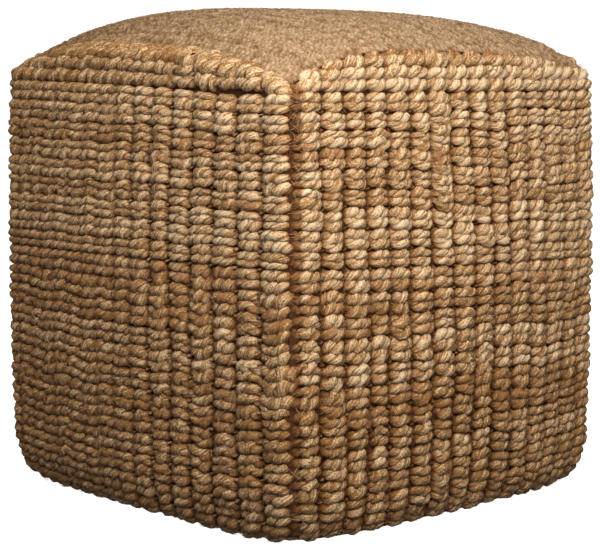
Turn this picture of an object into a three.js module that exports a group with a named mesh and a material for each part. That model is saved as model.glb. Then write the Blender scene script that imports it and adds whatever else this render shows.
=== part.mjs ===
// Square stuffed pouf of woven jute. Four thick side panels and a base cloth are sewn round a stuffed
// body whose crowned upper face is a finer woven top cloth. Millimetres, +Z up, origin on the floor under
// the middle. The front is -Y.
import * as THREE from "three";
import { mergeVertices } from "three/addons/utils/BufferGeometryUtils.js";

// The square between the upright seams, measured at mid-height of the sides.
const SEAM_HALF = 200;
const BOW = 3; // the stuffing pushes the upright seams out by this at mid-height

// Side cloth: thick two-ply jute, woven in upright columns with a groove between each two.
const SIDE_THICK = 10;
const COLUMN_GROOVE = 3;
const SEAM_GROOVE = 5; // the upright seams draw the cloth in deeper than a groove does
const GROOVE_SHARE = 0.14; // share of a column from a groove to the crest beside it

// Where the side cloth turns over at the top seam and under at the floor.
const HEAD_HEIGHT = 15;
const CORNER_ROLL = 12;
const FOOT_HEIGHT = 50;
const FOOT_TOE = 14;

// Top seam: it rises between the corners, and the top cloth rises on from it.
const SEAM_FULLNESS = 3; // power of the rise, a higher one keeps the seam level nearer to the corners
const CROWN = 1; // height of the middle above the blend of the four seams

// Underside: flat, with its four corners lifted a little off the floor.
const BASE_THICK = 4;
const CORNER_LIFT = 6;
const LIFT_START = 0.57; // share of the way from the middle to a corner at which the lift starts
const BODY_LIFT = 1.3; // the stuffing doesn't fill the corners, so it is lifted more than the base cloth is

const GAP = 0.8; // between two pieces, so that it stays over 0.3 where their grids differ

// Sides in turn about Z. rise: of the top seam between its corners. lean: how far the highest place lies
// towards the start of the side. roll: of the cloth over the top edge. belly: outward at mid-height.
// sag: outward at the floor, where the stuffing has sunk. columns: of the weave. widen: share by which
// the columns grow wider than the mean towards the end of the side, and narrower towards its start.
const SIDES = [
  { name: "side_panel_front", rise: 26, lean: 0.12, roll: 17, belly: 4, sag: 6, columns: 16, widen: 0.3 },
  { name: "side_panel_right", rise: 23, lean: 0.42, roll: 13, belly: 6, sag: 10, columns: 15, widen: -0.1 },
  { name: "side_panel_back", rise: 26, lean: 0.45, roll: 15, belly: 5, sag: 8, columns: 15, widen: 0.08 },
  { name: "side_panel_left", rise: 25, lean: -0.3, roll: 15, belly: 5, sag: 8, columns: 15, widen: -0.05 },
];
// Height of the top seam at the corner where each side starts, looking at that side from outside.
const CORNER_HEIGHTS = [403, 409, 403, 406];

const SIDE_COLOUR = 0xa98255;
const TOP_COLOUR = 0xb59569;
const BASE_COLOUR = 0x8f7a5c;

// Grid steps of the solids.
const FOOT_STEPS = 3;
const WALL_STEPS = 3;
const HEAD_STEPS = 3;
const ROWS = FOOT_STEPS + WALL_STEPS + HEAD_STEPS;
const BASE_STEPS = 14;
const BODY_STEPS = BASE_STEPS + 2; // the top and base cloth, and the seam allowance round them
const STEPS_PER_COLUMN = 4;

const UP = new THREE.Vector3(0, 0, 1);
const QUARTER = Math.PI / 2;
const mix = (a, b, share) => a + (b - a) * share;
const swell = (s, power) => 1 - Math.abs(s) ** power;

// Place across side k of a step, from -1 at its start to 1 at its end. The steps of a column are its
// groove, a crest, its middle and a crest.
const COLUMN_STATIONS = [0, GROOVE_SHARE, 0.5, 1 - GROOVE_SHARE];
function acrossStation(k, step) {
  const { columns, widen } = SIDES[k];
  const column = Math.floor(step / STEPS_PER_COLUMN);
  const share = (column + COLUMN_STATIONS[step % STEPS_PER_COLUMN]) / columns;
  return 2 * share * (1 - widen * (1 - share)) - 1;
}

// Depth of the cloth's surface under its crests at a step across side k.
function grooveDepth(k, step) {
  if (step === 0 || step === SIDES[k].columns * STEPS_PER_COLUMN) return SEAM_GROOVE;
  return step % STEPS_PER_COLUMN === 0 ? COLUMN_GROOVE : 0;
}

// Height of the top seam of side k.
function seamHeight(k, s) {
  const corners = mix(CORNER_HEIGHTS[k], CORNER_HEIGHTS[(k + 1) % 4], (s + 1) / 2);
  return corners + SIDES[k].rise * swell(s, SEAM_FULLNESS) * (1 - SIDES[k].lean * s);
}

// Lift of the underside, from its share of the way to a side or corner.
const liftShare = (s) => Math.max(0, (Math.abs(s) - LIFT_START) / (1 - LIFT_START)) ** 2;
const baseLift = (u, v) => CORNER_LIFT * liftShare(u) * liftShare(v);

// How far the cloth of side k turns over at the top.
const rollAt = (k, s) => CORNER_ROLL + (SIDES[k].roll - CORNER_ROLL) * swell(s, 4);

const arch = (share) => 4 * share * (1 - share);

// Outward swelling of side k at a share of its height.
function swelling(k, s, share) {
  const { belly, sag } = SIDES[k];
  return swell(s, 2) * (belly * arch(share) + sag * (1 - share));
}

// Section of side k at place s and row: how far out and how high the cloth's face is, at a depth under
// it, and the angle by which it has turned from upright. Rows run through the foot, the wall and the head.
function section(k, s, row, depth) {
  const top = seamHeight(k, s);
  const low = CORNER_LIFT * liftShare(s);
  let angle = 0;
  let inset = depth;
  let z;
  if (row < FOOT_STEPS) {
    angle = QUARTER * (1 - row / FOOT_STEPS);
    inset += (FOOT_TOE - depth) * (1 - Math.cos(angle));
    z = low + depth + (FOOT_HEIGHT - depth) * (1 - Math.sin(angle));
  } else if (row > FOOT_STEPS + WALL_STEPS) {
    angle = (QUARTER * (row - FOOT_STEPS - WALL_STEPS)) / HEAD_STEPS;
    inset += (rollAt(k, s) - depth) * (1 - Math.cos(angle));
    z = top - depth - (HEAD_HEIGHT - depth) * (1 - Math.sin(angle));
  } else {
    z = mix(low + FOOT_HEIGHT, top - HEAD_HEIGHT, (row - FOOT_STEPS) / WALL_STEPS);
  }
  const share = z / top;
  const out = SEAM_HALF + BOW * arch(share) + swelling(k, s, share) - inset;
  const facing = row > ROWS / 2 ? 1 : -1;
  return { out, z, angle, facing };
}

// Point on side k. depth: 0 for the outer face, or the cloth's thickness. cut: how far a groove sinks.
// clear: distance kept inside that face. mitre: room left at the upright seams.
function sidePoint(k, s, row, { depth = 0, cut = 0, clear = 0, mitre = 0 }) {
  const here = section(k, s, row, depth);
  const corner = section(k, Math.sign(s) || 1, row, depth);
  const seamCut = depth ? 0 : SEAM_GROOVE * Math.cos(corner.angle);
  const along = s * (corner.out - seamCut - clear - mitre);
  const out = here.out - cut * Math.cos(here.angle) - clear;
  const z = here.z - here.facing * (cut + clear) * Math.sin(here.angle);
  return new THREE.Vector3(along, -out, z).applyAxisAngle(UP, k * QUARTER);
}

const cloth = (color) => new THREE.MeshStandardMaterial({ color, roughness: 0.95, metalness: 0 });

// Closed solid from a box of grid steps whose points are moved one by one.
function solid(name, steps, place, material) {
  const box = new THREE.BoxGeometry(2, 2, 2, steps[0], steps[1], steps[2]);
  box.deleteAttribute("normal");
  box.deleteAttribute("uv");
  const geometry = mergeVertices(box);
  const points = geometry.attributes.position;
  const step = (value, axis) => Math.round(((value + 1) / 2) * steps[axis]);
  for (let i = 0; i < points.count; i++) {
    const at = place(step(points.getX(i), 0), step(points.getY(i), 1), step(points.getZ(i), 2));
    points.setXYZ(i, at.x, at.y, at.z);
  }
  geometry.computeVertexNormals();
  const mesh = new THREE.Mesh(geometry, material);
  mesh.name = name;
  return mesh;
}

// Side panel: outer face with its columns raised, inner face plain.
function sidePanel(k) {
  const place = (across, through, row) => {
    const face = through === 0 ? { cut: grooveDepth(k, across) } : { depth: SIDE_THICK };
    return sidePoint(k, acrossStation(k, across), row, { ...face, mitre: GAP / 2 });
  };
  const { name, columns } = SIDES[k];
  return solid(name, [columns * STEPS_PER_COLUMN, 1, ROWS], place, cloth(SIDE_COLOUR));
}

// Half width of the opening in side k that the top or the base cloth fills.
const topEdge = (k, s) => SEAM_HALF - rollAt(k, s);
const baseEdge = (k, s) => SEAM_HALF - FOOT_TOE + swelling(k, s, 0);

// Place in plan of a point of the top or base cloth, u towards +X and v towards +Y, each -1 to 1.
function inPlan(edge, u, v) {
  return {
    x: mix(-edge(3, -v), edge(1, v), (u + 1) / 2) - GAP * u,
    y: mix(-edge(0, u), edge(2, -u), (v + 1) / 2) - GAP * v,
  };
}

// Height of the top cloth: the four seam heights blended, and the crown over them.
function crownHeight(u, v) {
  const [frontLeft, frontRight, backRight, backLeft] = CORNER_HEIGHTS;
  const right = (u + 1) / 2;
  const back = (v + 1) / 2;
  const alongY = mix(seamHeight(0, u), seamHeight(2, -u), back);
  const alongX = mix(seamHeight(3, -v), seamHeight(1, v), right);
  const corners = mix(mix(frontLeft, frontRight, right), mix(backLeft, backRight, right), back);
  return alongY + alongX - corners + CROWN * swell(u, 2) * swell(v, 2);
}

// Place of a step on the body's wall: side number and place across it.
function wallPlace(i, j) {
  const across = (step) => (2 * step) / BODY_STEPS - 1;
  if (j === 0) return { k: 0, s: across(i) };
  if (i === BODY_STEPS) return { k: 1, s: across(j) };
  if (j === BODY_STEPS) return { k: 2, s: -across(i) };
  return { k: 3, s: -across(j) };
}

// Stuffed body: its wall lies against the inside of the side panels, its upper face is the top cloth.
function stuffedBody() {
  const place = (i, j, row) => {
    const onWall = i === 0 || j === 0 || i === BODY_STEPS || j === BODY_STEPS;
    if (onWall) {
      const { k, s } = wallPlace(i, j);
      return sidePoint(k, s, row, { depth: SIDE_THICK, clear: GAP });
    }
    const u = (2 * (i - 1)) / BASE_STEPS - 1;
    const v = (2 * (j - 1)) / BASE_STEPS - 1;
    if (row === 0) return { ...inPlan(baseEdge, u, v), z: BASE_THICK + GAP + BODY_LIFT * baseLift(u, v) };
    return { ...inPlan(topEdge, u, v), z: crownHeight(u, v) };
  };
  return solid("stuffed_body", [BODY_STEPS, BODY_STEPS, ROWS], place, cloth(TOP_COLOUR));
}

// Base cloth: flat on the floor but for its lifted corners.
function bottomPanel() {
  const place = (i, j, layer) => {
    const u = (2 * i) / BASE_STEPS - 1;
    const v = (2 * j) / BASE_STEPS - 1;
    return { ...inPlan(baseEdge, u, v), z: layer * BASE_THICK + baseLift(u, v) };
  };
  return solid("bottom_panel", [BASE_STEPS, BASE_STEPS, 1], place, cloth(BASE_COLOUR));
}

const pouf = new THREE.Group();
pouf.add(stuffedBody(), bottomPanel());
SIDES.forEach((_, k) => pouf.add(sidePanel(k)));

export default pouf;
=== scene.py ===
"""Looks of a square jute pouf: roped side panels, a finer woven top cloth and a plain base cloth.

Each side panel is woven of two-ply ropes that run across it in pairs. Thinner binder yarns run down the
grooves between its columns and knot the pairs together. The shapes follow the same sizes as the solids.
A place across a side runs from -1 at its start to 1 at its end, left to right as seen from outside.
"""

import math
from typing import NamedTuple

import bpy
import numpy as np
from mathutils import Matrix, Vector


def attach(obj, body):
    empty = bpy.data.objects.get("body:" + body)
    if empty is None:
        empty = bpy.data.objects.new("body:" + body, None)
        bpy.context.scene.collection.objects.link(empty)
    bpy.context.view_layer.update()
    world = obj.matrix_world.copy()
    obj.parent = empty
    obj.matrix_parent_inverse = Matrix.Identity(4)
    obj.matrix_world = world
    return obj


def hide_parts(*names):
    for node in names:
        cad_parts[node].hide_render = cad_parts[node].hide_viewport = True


bl_info = {
    "name": "Jute pouf dressing",
    "version": (1, 0, 0),
    "blender": (4, 5, 0),
    "location": "3D View > Sidebar > Pouf",
    "description": "Weaves the ropes, the top cloth and the base cloth of a jute pouf round its solids",
    "category": "Object",
}

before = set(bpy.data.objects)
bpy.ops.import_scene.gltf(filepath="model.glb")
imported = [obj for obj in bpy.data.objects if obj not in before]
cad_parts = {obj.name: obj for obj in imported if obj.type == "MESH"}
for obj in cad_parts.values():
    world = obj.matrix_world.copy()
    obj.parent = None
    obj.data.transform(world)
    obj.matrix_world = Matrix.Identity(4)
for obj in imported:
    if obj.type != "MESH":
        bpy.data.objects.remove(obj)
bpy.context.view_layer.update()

MM = 0.001
QUARTER = math.pi / 2
TURN = 2 * math.pi

# Driving sizes of the pouf's form, the same as those of its solids.
SEAM_HALF = 200 * MM
BOW = 3 * MM
SIDE_THICK = 10 * MM
SEAM_GROOVE = 5 * MM
HEAD_HEIGHT = 15 * MM
CORNER_ROLL = 12 * MM
ROLL_FULLNESS = 4
FOOT_HEIGHT = 50 * MM
FOOT_TOE = 14 * MM
SEAM_FULLNESS = 3
CROWN = 1 * MM
BASE_THICK = 4 * MM
CORNER_LIFT = 6 * MM
LIFT_START = 0.57
GAP = 0.8 * MM
CORNER_HEIGHTS = [403 * MM, 409 * MM, 403 * MM, 406 * MM]

# Half width of a side between the bottoms of its upright seams.
FACE_HALF = SEAM_HALF - SEAM_GROOVE

# Distance from the start of a side, in half widths, over which the shift of its first groove fades out.
SELVEDGE_FADE = 0.75

# Steps of a side's section from the top seam down to the floor.
HEAD_CUTS = 24
WALL_CUTS = 60
FOOT_CUTS = 36


class Side(NamedTuple):
    """Form of one side of the pouf, in metres."""

    name: str
    rise: float
    lean: float
    roll: float
    belly: float
    sag: float
    columns: int
    widen: float


SIDES = [
    Side("front", 26 * MM, 0.12, 17 * MM, 4 * MM, 6 * MM, 16, 0.3),
    Side("right", 23 * MM, 0.42, 13 * MM, 6 * MM, 10 * MM, 15, -0.1),
    Side("back", 26 * MM, 0.45, 15 * MM, 5 * MM, 8 * MM, 15, 0.08),
    Side("left", 25 * MM, -0.3, 15 * MM, 5 * MM, 8 * MM, 15, -0.05),
]
FRONT, RIGHT, BACK, LEFT = range(4)


class Hand(NamedTuple):
    """How one side is woven.

    grip: how firmly its binder yarns hold it at its start and its end. turn: place across it where one
    goes over to the other. groove: half width of a groove. parted: gap between two pairs of ropes. waist:
    thickness between a rope's two plies as a share of its width. knot: size of its binders' knots as a
    share of the usual. shoulder: height at both ends of the line under its first four ropes. level: the
    same for its middle. selvedge: how much wider its first column is, for the strip that turns into the
    seam. first: how far its ropes are sunk right under the top cloth. lay: length of its ropes' twist as a
    share of the usual.
    """

    grip: tuple
    turn: float
    groove: float
    parted: float
    waist: float
    knot: float
    shoulder: tuple
    level: tuple
    selvedge: float
    first: float
    lay: float


HANDS = [
    Hand((0.25, 1.3), 0.0, 5 * MM, 0.8 * MM, 0.72, 0.5, (390 * MM, 400 * MM), (231 * MM, 248 * MM),
         0, 0, 1.2),
    Hand((1.6, 0.6), 0.45, 5.6 * MM, 0.6 * MM, 0.72, 0.3, (400 * MM, 381 * MM), (248 * MM, 221 * MM),
         10 * MM, 3.4 * MM, 1),
    Hand((0.9, 1.1), 0.0, 5 * MM, 0.9 * MM, 0.74, 0.4, (393 * MM, 396 * MM), (232 * MM, 242 * MM),
         6 * MM, 10 * MM, 1),
    Hand((1.2, 0.8), 0.0, 5 * MM, 0.8 * MM, 0.75, 0.5, (395 * MM, 390 * MM), (242 * MM, 230 * MM),
         8 * MM, 7 * MM, 1.1),
]


class Band(NamedTuple):
    """Pairs of ropes spun of another lot of jute.

    pair: the middle one, counted from the top seam. reach: how many pairs to each side of it. pale and
    rust: how much paler and more reddish they are.
    """

    pair: float
    reach: float
    pale: float
    rust: float


BANDS = [
    Band(5.5, 0.7, -0.5, 0.7),
    Band(7.8, 0.9, -0.7, 0.9),
    Band(10.0, 1.2, 1.3, -0.7),
    Band(12.2, 1.2, -0.5, 1.4),
    Band(14.0, 0.8, -0.3, 1.0),
    Band(15.7, 0.9, 0.9, -0.6),
    Band(17.7, 1.0, -0.4, 0.6),
    Band(20.0, 0.8, 0.8, -0.4),
]


def mix(a, b, share):
    return a + (b - a) * share


def swell(s, power):
    """1 in the middle of a side, falling to 0 at both its ends."""
    return 1 - np.abs(s) ** power


def arch(share):
    """0 at both ends and 1 half-way."""
    return 4 * share * (1 - share)


def bell(x, width):
    return np.exp(-((x / width) ** 2))


def unit(vectors):
    """Vectors scaled to a length of 1."""
    return vectors / np.linalg.norm(vectors, axis=-1, keepdims=True)


def seam_height(k, s):
    """Height of the top seam of side k."""
    corners = mix(CORNER_HEIGHTS[k], CORNER_HEIGHTS[(k + 1) % 4], (s + 1) / 2)
    return corners + SIDES[k].rise * swell(s, SEAM_FULLNESS) * (1 - SIDES[k].lean * s)


def lift_share(s):
    """How far the underside is lifted, from its share of the way to a side."""
    return np.maximum(0, (np.abs(s) - LIFT_START) / (1 - LIFT_START)) ** 2


def roll_at(k, s):
    """How far the cloth of side k turns over at the top."""
    return CORNER_ROLL + (SIDES[k].roll - CORNER_ROLL) * swell(s, ROLL_FULLNESS)


def swelling(k, s, share):
    """Outward swelling of side k at a share of its height."""
    return swell(s, 2) * (SIDES[k].belly * arch(share) + SIDES[k].sag * (1 - share))


def section(k, s, depth=0.0):
    """Side k's face, or the face at a depth under it: out and z for each cut down it and each place s."""
    s = np.asarray(s, float)[None]
    top = seam_height(k, s)
    low = CORNER_LIFT * lift_share(s)
    head = np.linspace(QUARTER, 0, HEAD_CUTS)[:, None]
    wall = np.linspace(0, 1, WALL_CUTS)[1:-1, None]
    foot = np.linspace(0, QUARTER, FOOT_CUTS)[:, None]
    inset = np.concatenate([
        depth + (roll_at(k, s) - depth) * (1 - np.cos(head)),
        depth + 0 * wall * s,
        depth + (FOOT_TOE - depth) * (1 - np.cos(foot)) + 0 * s,
    ])
    z = np.concatenate([
        top - depth - (HEAD_HEIGHT - depth) * (1 - np.sin(head)),
        mix(top - HEAD_HEIGHT, low + FOOT_HEIGHT, wall),
        low + depth + (FOOT_HEIGHT - depth) * (1 - np.sin(foot)),
    ])
    share = z / top
    return SEAM_HALF + BOW * arch(share) + swelling(k, s, share) - inset, z


def turned(k, vectors):
    """Vectors of the front side, turned round to side k."""
    c, s = [(1, 0), (0, 1), (-1, 0), (0, -1)][k]
    x, y, z = np.moveaxis(vectors, -1, 0)
    return np.stack([c * x - s * y, s * x + c * y, z], axis=-1)


class Face:
    """Outer face of side k at some places across it, measured down from the top seam."""

    def __init__(self, k, places):
        self.k = k
        self.places = np.asarray(places, float)
        self.out, self.z = section(k, places)
        step = np.hypot(np.diff(self.out, axis=0), np.diff(self.z, axis=0))
        self.run = np.concatenate([np.zeros((1, len(places))), np.cumsum(step, axis=0)])
        self.length = self.run[-1]
        self.corners = [section(k, [end])[0][:, 0] for end in (-1.0, 1.0)]

    def down_to(self, heights):
        """Distance down the face to a height at each place."""
        return np.array([np.interp(-high, -self.z[:, i], self.run[:, i]) for i, high in enumerate(heights)])

    def at(self, down):
        """Points and outward normals for rows of distances down the face, a column for each place."""
        out, z, slope_out, slope_z, along = (np.zeros_like(down) for _ in range(5))
        for i, s in enumerate(self.places):
            run = self.run[:, i]
            here = down[:, i]
            out[:, i] = np.interp(here, run, self.out[:, i])
            z[:, i] = np.interp(here, run, self.z[:, i])
            slope_out[:, i] = np.interp(here, run, np.gradient(self.out[:, i], run))
            slope_z[:, i] = np.interp(here, run, np.gradient(self.z[:, i], run))
            along[:, i] = s * (np.interp(here, run, self.corners[int(s > 0)]) - SEAM_GROOVE)
        size = np.hypot(slope_out, slope_z)
        point = turned(self.k, np.stack([along, -out, z], axis=-1))
        normal = turned(self.k, np.stack([0 * out, slope_z / size, slope_out / size], axis=-1))
        return point, normal


def column_edges(k):
    """Places across side k of the grooves between its columns, from one upright seam to the other."""
    share = np.arange(SIDES[k].columns + 1) / SIDES[k].columns
    edges = 2 * share * (1 - SIDES[k].widen * (1 - share)) - 1
    pushed = HANDS[k].selvedge / SEAM_HALF * np.clip(1 - (1 + edges) / SELVEDGE_FADE, 0, 1)
    pushed[0] = 0
    return edges + pushed


def between_knots(count, knots):
    """The knot before each of count places in a row, and the eased share of the way to the next one."""
    place = np.linspace(0, knots, count)
    low = np.minimum(place.astype(int), knots - 1)
    share = place - low
    return low, share * share * (3 - 2 * share)


def wander(rng, rows, count, knots):
    """Smooth random values from -1 to 1: rows of count values, with a free value at each knot."""
    values = rng.uniform(-1, 1, size=(rows, knots + 1))
    low, share = between_knots(count, knots)
    return values[:, low] * (1 - share) + values[:, low + 1] * share


def soft_noise(rng, shape, knots):
    """Smooth random field from -1 to 1 with a free value at each knot of a grid."""
    rows = wander(rng, knots + 1, shape[1], knots)
    low, share = between_knots(shape[0], knots)
    share = share[:, None]
    return rows[low] * (1 - share) + rows[low + 1] * share


# Kinds of number that the settings hold, for Blender to show with their units.
SHARE = {"subtype": "FACTOR"}
LENGTH = {"subtype": "DISTANCE", "unit": "LENGTH"}
ANGLE = {"subtype": "ANGLE", "unit": "ROTATION"}
POWER = {"subtype": "POWER", "unit": "POWER"}
FOCAL = {"subtype": "DISTANCE_CAMERA", "unit": "CAMERA"}


def whole(name, description, default, least):
    """A whole number that a user may change."""
    return bpy.props.IntProperty(name=name, description=description, default=default, min=least)


def number(name, description, default, **kind):
    """A number that a user may change."""
    return bpy.props.FloatProperty(name=name, description=description, default=default, **kind)


def dye(name, description, default):
    """A colour that a user may change."""
    return bpy.props.FloatVectorProperty(
        name=name, description=description, default=default, subtype="COLOR", min=0, max=1
    )


class WeaveSettings(bpy.types.PropertyGroup):
    """Sizes of the ropes and binder yarns of the side panels."""

    pairs: whole("Rope pairs", "Pairs of ropes from the top seam to the floor", 23, 4)
    steps: whole("Rope steps", "Steps of a rope from one upright seam to the other", 172, 20)
    strays: whole("Loose fibres", "Loose fibres that stand off the ropes of a side", 620, 1)
    fullness: number("Fullness", "Width of a rope as a share of its room", 1.34, min=0.5, max=1.5, **SHARE)
    twist: number("Twist", "Length in which a rope's two plies go once round", 24 * MM, **LENGTH)
    dip: number("Groove dip", "How far a rope sinks where a binder yarn holds it", 3.1 * MM, **LENGTH)
    pinch: number("Pinch", "How far a pair's two ropes are drawn together in a groove", 1.2 * MM, **LENGTH)
    unevenness: number("Unevenness", "How much a rope varies in thickness", 1.0, min=0, max=2, **SHARE)
    binder: number("Binder thickness", "Thickness of a binder where it crosses a pair", 2.2 * MM, **LENGTH)
    knot: number("Knot thickness", "Thickness of a binder's knot between two pairs", 5.6 * MM, **LENGTH)
    seed: whole("Seed", "Number that the random changes start from", 7, 0)


class TopSettings(bpy.types.PropertyGroup):
    """Sizes of the finer weave of the top cloth."""

    cells: whole("Grid cells", "Cells of the top cloth's grid across the pouf", 296, 40)
    row: number("Row pitch", "Distance between two rows of yarn", 5.6 * MM, **LENGTH)
    ply: number("Ply pitch", "Distance along a yarn between two of its plies", 5.6 * MM, **LENGTH)
    relief: number("Relief", "Height of a row over the gap beside it", 2.4 * MM, **LENGTH)


class ColourSettings(bpy.types.PropertyGroup):
    """Colours of the jute, and of the shade painted between its ropes and yarns."""

    straw: dye("Straw", "Palest fibres", (0.64, 0.49, 0.31))
    tan: dye("Tan", "Most of the rope", (0.4, 0.235, 0.1))
    # Brown for the dullest fibres, and for the shade painted in the crease between a rope's plies.
    brown_and_crease_shade: dye("Brown", "Dullest fibres", (0.19, 0.084, 0.024))
    rust: dye("Rust", "Reddish fibres", (0.32, 0.14, 0.05))
    # The next two colours are painted shade: shade_umber between the ropes and yarns, shade in the deepest
    # grooves and seams and on the backing.
    shade_umber: dye("Umber", "Fibres deep between the ropes", (0.19, 0.074, 0.017))
    shade: dye("Shade", "Fibres deepest in the grooves and seams", (0.06, 0.018, 0.003))
    top_pale: dye("Top pale", "Palest yarns of the top cloth", (0.365, 0.246, 0.14))
    top_dull: dye("Top dull", "Darkest yarns of the top cloth", (0.11, 0.059, 0.026))
    base: dye("Base", "Plain cloth under the pouf", (0.26, 0.16, 0.085))


class StageSettings(bpy.types.PropertyGroup):
    """Place of the camera and strength of the studio light."""

    distance: number("Camera distance", "Level distance of the camera from the pouf's axis", 2.3639, **LENGTH)
    height: number("Camera height", "Height of the camera over the floor", 0.5667, **LENGTH)
    azimuth: number("Camera azimuth", "Angle of the camera round the pouf from the front", 0.8217, **ANGLE)
    pitch: number("Camera pitch", "Angle by which the camera looks down", 0.1545, **ANGLE)
    lens: number("Lens", "Focal length in millimetres", 148.5, **FOCAL)
    key: number("Key light", "Power of the key light", 11, **POWER)
    fill: number("Back light", "Power of the light behind", 4, **POWER)
    sky: number("Sky light", "Strength of the soft light all round", 0.46)


class Wire:
    """A number, colour or vector socket. Python's operators on a number add its Math nodes."""

    def __init__(self, sheet, socket):
        self.sheet = sheet
        self.socket = socket

    def math(self, operation, *values, clamp=False):
        inputs = dict(enumerate((self, *values)))
        return self.sheet.node("ShaderNodeMath", {"operation": operation, "use_clamp": clamp}, inputs)

    def __add__(self, other):
        return self.math("ADD", other)

    def __sub__(self, other):
        return self.math("SUBTRACT", other)

    def __rsub__(self, other):
        return self.math("MULTIPLY_ADD", -1.0, other)

    def __mul__(self, other):
        return self.math("MULTIPLY", other)

    def __truediv__(self, other):
        return self.math("DIVIDE", other)

    __radd__ = __add__
    __rmul__ = __mul__

    def clamped(self):
        return self.math("ADD", 0.0, clamp=True)


class NodeSheet:
    """A node tree that is filled by one method, node."""

    def __init__(self, tree):
        self.tree = tree

    def node(self, kind, settings=None, inputs=None, output=0):
        """Adds a node with its settings, then gives each socket in inputs its value or link."""
        made = self.tree.nodes.new(kind)
        for name, value in (settings or {}).items():
            if name == "stops":
                self.set_stops(made.color_ramp, value)
            else:
                setattr(made, name, value)
        for key, value in (inputs or {}).items():
            if isinstance(value, Wire):
                self.tree.links.new(value.socket, made.inputs[key])
            else:
                made.inputs[key].default_value = value
        return Wire(self, made.outputs[output]) if made.outputs else None

    @staticmethod
    def set_stops(ramp, stops):
        while len(ramp.elements) < len(stops):
            ramp.elements.new(1)
        for element, (place, value) in zip(ramp.elements, stops):
            element.position = place
            element.color = (value, value, value, 1)

    def ramp(self, value, *stops):
        """Ramp over stops, each a place and the value there."""
        return self.node("ShaderNodeValToRGB", {"stops": stops}, {"Fac": value})

    def blend(self, share, a, b):
        """Mix of two colours. Several of the node's sockets share a name, so they go by number."""
        return self.node("ShaderNodeMix", {"data_type": "RGBA"}, {0: share, 6: a, 7: b}, output=2)

    def vector(self, operation, *values, output="Vector"):
        inputs = dict(enumerate(values))
        return self.node("ShaderNodeVectorMath", {"operation": operation}, inputs, output)

    def noise(self, place, scale, detail, roughness, stretch=None):
        """Noise at a place, or at one that is stretched first by a factor for each axis."""
        place = self.vector("MULTIPLY", place, stretch) if stretch else place
        inputs = {"Vector": place, "Scale": scale, "Detail": detail, "Roughness": roughness}
        return self.node("ShaderNodeTexNoise", None, inputs)

    def attribute(self, name, output="Fac"):
        return self.node("ShaderNodeAttribute", {"attribute_name": name}, output=output)

    def surface(self, colour, grain, strength, rise, roughness, specular=0.1):
        """Ends a material with a dull surface on which the grain stands up."""
        bump = self.node("ShaderNodeBump", None, {"Strength": strength, "Distance": rise, "Height": grain})
        shader = self.node("ShaderNodeBsdfPrincipled", None, {
            "Base Color": colour, "Roughness": roughness, "Specular IOR Level": specular, "Normal": bump,
        })
        self.node("ShaderNodeOutputMaterial", None, {"Surface": shader})


class TreeMaker(NodeSheet):
    """A Geometry Nodes tree with named inputs."""

    def __init__(self, name, inputs):
        super().__init__(bpy.data.node_groups.new(name, "GeometryNodeTree"))
        face = self.tree.interface
        face.new_socket("Geometry", in_out="OUTPUT", socket_type="NodeSocketGeometry")
        face.new_socket("Geometry", in_out="INPUT", socket_type="NodeSocketGeometry")
        for label, kind in inputs.items():
            face.new_socket(label, in_out="INPUT", socket_type=kind)
        self.start = self.tree.nodes.new("NodeGroupInput")

    def given(self, label):
        """What the tree is given for one of its inputs."""
        return Wire(self, self.start.outputs[label])

    def named(self, name, kind="FLOAT"):
        """A stored attribute."""
        return self.node("GeometryNodeInputNamedAttribute", {"data_type": kind}, {"Name": name})

    def store(self, geometry, name, value, kind="FLOAT"):
        """Stores a value for each point of the geometry."""
        settings = {"data_type": kind, "domain": "POINT"}
        inputs = {"Geometry": geometry, "Name": name, "Value": value}
        return self.node("GeometryNodeStoreNamedAttribute", settings, inputs)

    def finish(self, geometry):
        """Ends the tree with real, smooth geometry in the given material."""
        smooth = self.node("GeometryNodeSetShadeSmooth", None, {"Geometry": geometry})
        real = self.node("GeometryNodeRealizeInstances", None, {"Geometry": smooth})
        inputs = {"Geometry": real, "Material": self.given("Material")}
        dressed = self.node("GeometryNodeSetMaterial", None, inputs)
        end = self.tree.nodes.new("NodeGroupOutput")
        self.tree.links.new(dressed.socket, end.inputs["Geometry"])
        return self.tree


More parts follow.
